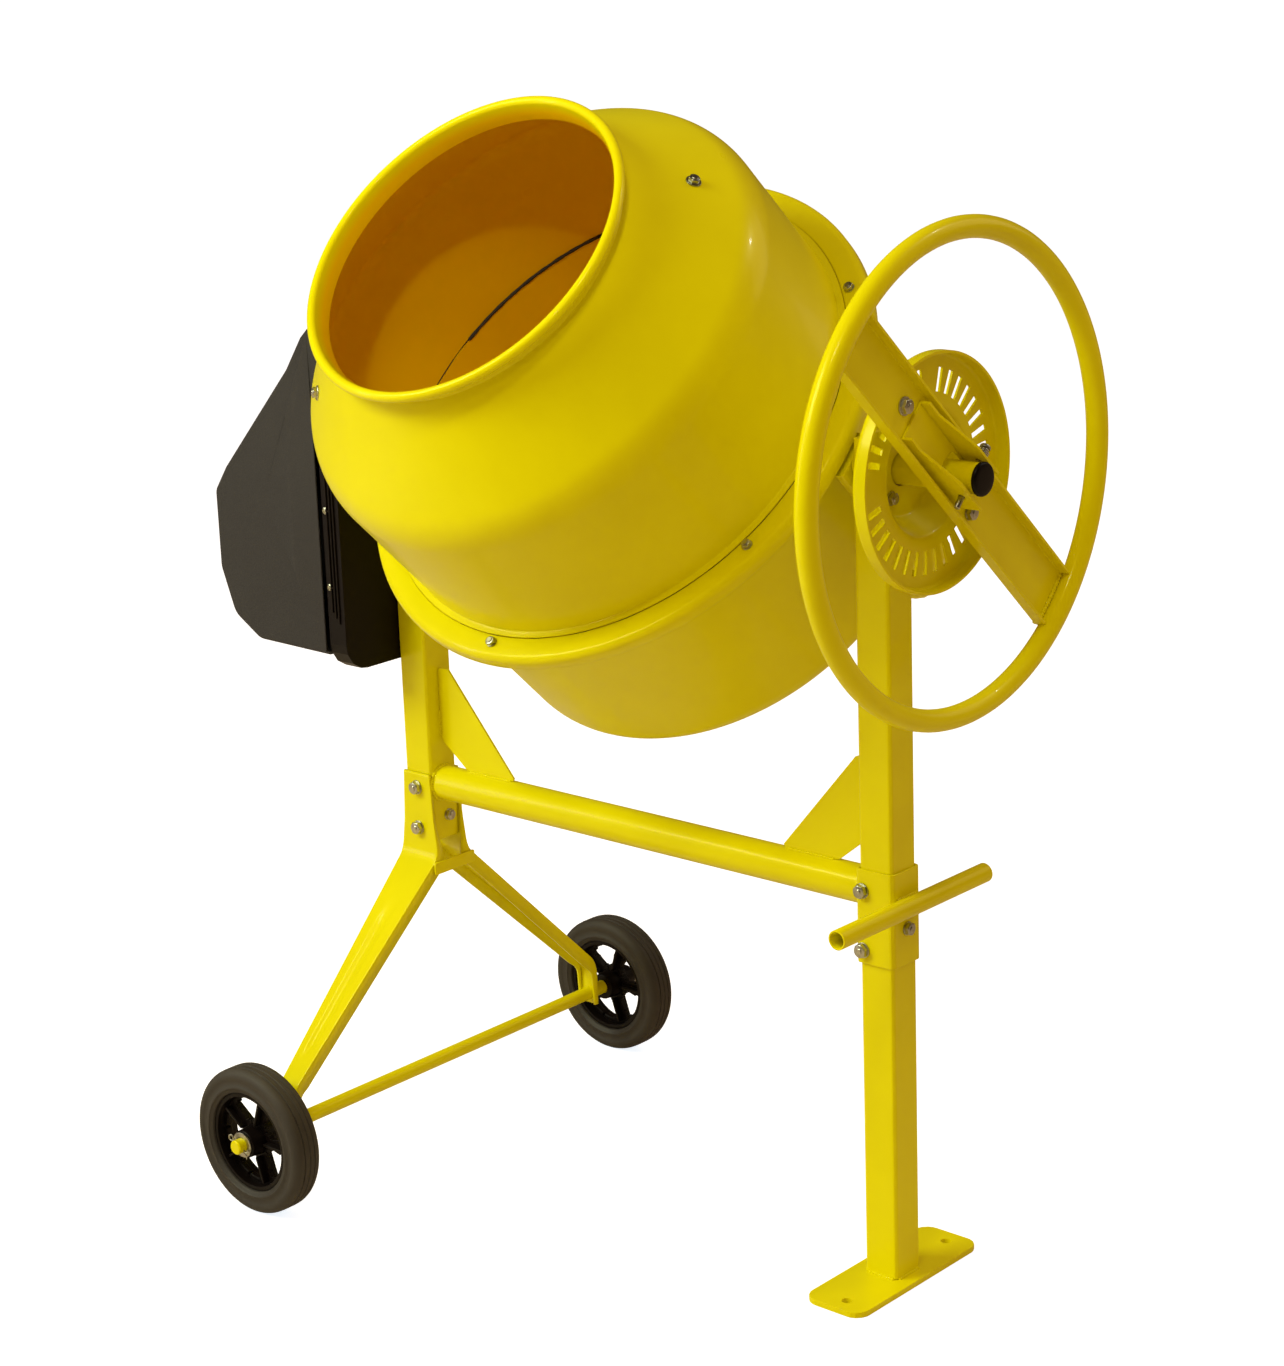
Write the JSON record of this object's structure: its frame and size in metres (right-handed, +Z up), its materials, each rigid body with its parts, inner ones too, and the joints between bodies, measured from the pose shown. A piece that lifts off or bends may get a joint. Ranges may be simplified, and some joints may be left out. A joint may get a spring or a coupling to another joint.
{
  "type": "concrete mixer",
  "caption": "Tilting-drum concrete mixer on a two-wheeled stand, with crown-gear belt drive in a side housing and a handwheel that locks into a slotted disc.",
  "frame": {"origin": "on the ground, under the middle of the whole machine's box", "axes": "+Z up, +X along the tilt axis from the drive housing to the handwheel, -Y towards the side that the drum's mouth leans to"},
  "size_m": [0.9776, 0.6732, 1.1861],
  "materials": {
    "yellow_paint": "glossy yellow powder paint",
    "zinc_plate": "yellow-passivated zinc plate",
    "cast_iron": "as cast",
    "bright_steel": "turned steel",
    "tyre_rubber": "solid rubber tyre",
    "belt_rubber": "rubber",
    "black_plastic": "moulded black plastic",
    "grey_plastic": "grained dark grey plastic",
    "bronze": "sintered bush",
    "green_plastic": "green button",
    "red_plastic": "red button"
  },
  "bodies": {
    "stand": {"left_post": "yellow_paint", "right_post": "yellow_paint", "right_leg": "yellow_paint", "post_sleeve": "yellow_paint", "foot_plate": "yellow_paint", "transport_handle": "yellow_paint", "connecting_tube": "yellow_paint", "left_gusset": "yellow_paint", "right_gusset": "yellow_paint", "front_wheel_leg": "yellow_paint", "back_wheel_leg": "yellow_paint", "wheel_axle": "yellow_paint", "locking_disc": "yellow_paint", "left_tilt_bush": "bronze", "right_tilt_bush": "bronze", "frame_bolt_1": "zinc_plate", "frame_bolt_2": "zinc_plate", "frame_bolt_3": "zinc_plate", "frame_bolt_4": "zinc_plate", "frame_bolt_5": "zinc_plate", "housing_inner_cover": "black_plastic", "housing_outer_cover": "grey_plastic", "motor_body": "cast_iron", "motor_mount": "cast_iron", "switch_box": "black_plastic", "drive_belt": "belt_rubber"},
    "cradle": {"cradle_arm": "yellow_paint", "left_trunnion": "yellow_paint", "right_trunnion": "yellow_paint", "axle_end_cap": "black_plastic", "pivot_pin": "zinc_plate", "drum_axle": "bright_steel", "drum_axle_nut": "zinc_plate", "pinion_bush": "bronze"},
    "drum": {"lower_drum": "yellow_paint", "upper_drum": "yellow_paint", "drum_seal": "belt_rubber", "ring_guard": "yellow_paint", "gear_ring": "cast_iron", "mixing_blade_left": "yellow_paint", "mixing_blade_right": "yellow_paint", "drum_bearing_housing": "cast_iron", "lower_drum_bearing": "bright_steel", "upper_drum_bearing": "bright_steel"},
    "pinion_drive": {"pinion": "cast_iron", "pinion_shaft": "bright_steel", "drive_pulley": "cast_iron"},
    "motor_rotor": {"motor_shaft": "bright_steel", "motor_pulley": "bright_steel"},
    "handwheel": {"handwheel_ring": "yellow_paint", "handwheel_spoke": "yellow_paint", "hub_bracket": "yellow_paint", "lock_tooth": "zinc_plate", "lock_spring": "bright_steel"},
    "front_wheel": {"front_tyre": "tyre_rubber", "front_hub": "black_plastic"},
    "back_wheel": {"back_tyre": "tyre_rubber", "back_hub": "black_plastic"},
    "start_button_body": {"start_button": "green_plastic"},
    "stop_button_body": {"stop_button": "red_plastic"}
  },
  "joints": [
    {"name": "cradle_tilt", "type": "hinge", "parent": "stand", "child": "cradle", "pos_m": [0.05125, 0.01483, 0.84], "axis": [1, 0, 0], "range_deg": [-46.5, 90]},
    {"name": "drum_spin", "type": "hinge", "parent": "cradle", "child": "drum", "pos_m": [0.05125, 0.01483, 0.84], "axis": [0, -0.7254, 0.6884], "continuous": true},
    {"name": "pinion_spin", "type": "hinge", "parent": "cradle", "child": "pinion_drive", "pos_m": [0.05125, 0.01483, 0.84], "axis": [1, 0, 0], "continuous": true},
    {"name": "motor_spin", "type": "hinge", "parent": "stand", "child": "motor_rotor", "pos_m": [0.05125, 0.01483, 0.66], "axis": [1, 0, 0], "continuous": true},
    {"name": "handwheel_rock", "type": "hinge", "parent": "cradle", "child": "handwheel", "pos_m": [0.47225, 0.01483, 0.84], "axis": [0, 0.6884, 0.7254], "range_deg": [0, 5], "stiffness_Nm_per_rad": 20, "springref_deg": -11.46},
    {"name": "front_wheel_spin", "type": "hinge", "parent": "stand", "child": "front_wheel", "pos_m": [-0.26725, -0.27317, 0.082], "axis": [0, 1, 0], "continuous": true},
    {"name": "back_wheel_spin", "type": "hinge", "parent": "stand", "child": "back_wheel", "pos_m": [-0.26725, 0.30283, 0.082], "axis": [0, 1, 0], "continuous": true},
    {"name": "start_button_press", "type": "slide", "parent": "stand", "child": "start_button_body", "axis": [0, -1, 0], "range_m": [0, 0.003], "stiffness_N_per_m": 600},
    {"name": "stop_button_press", "type": "slide", "parent": "stand", "child": "stop_button_body", "axis": [0, -1, 0], "range_m": [0, 0.003], "stiffness_N_per_m": 600}
  ],
  "couplings": [
    {"joint": "pinion_spin", "follows": "drum_spin", "ratio": 12},
    {"joint": "motor_spin", "follows": "drum_spin", "ratio": 97.2}
  ]
}
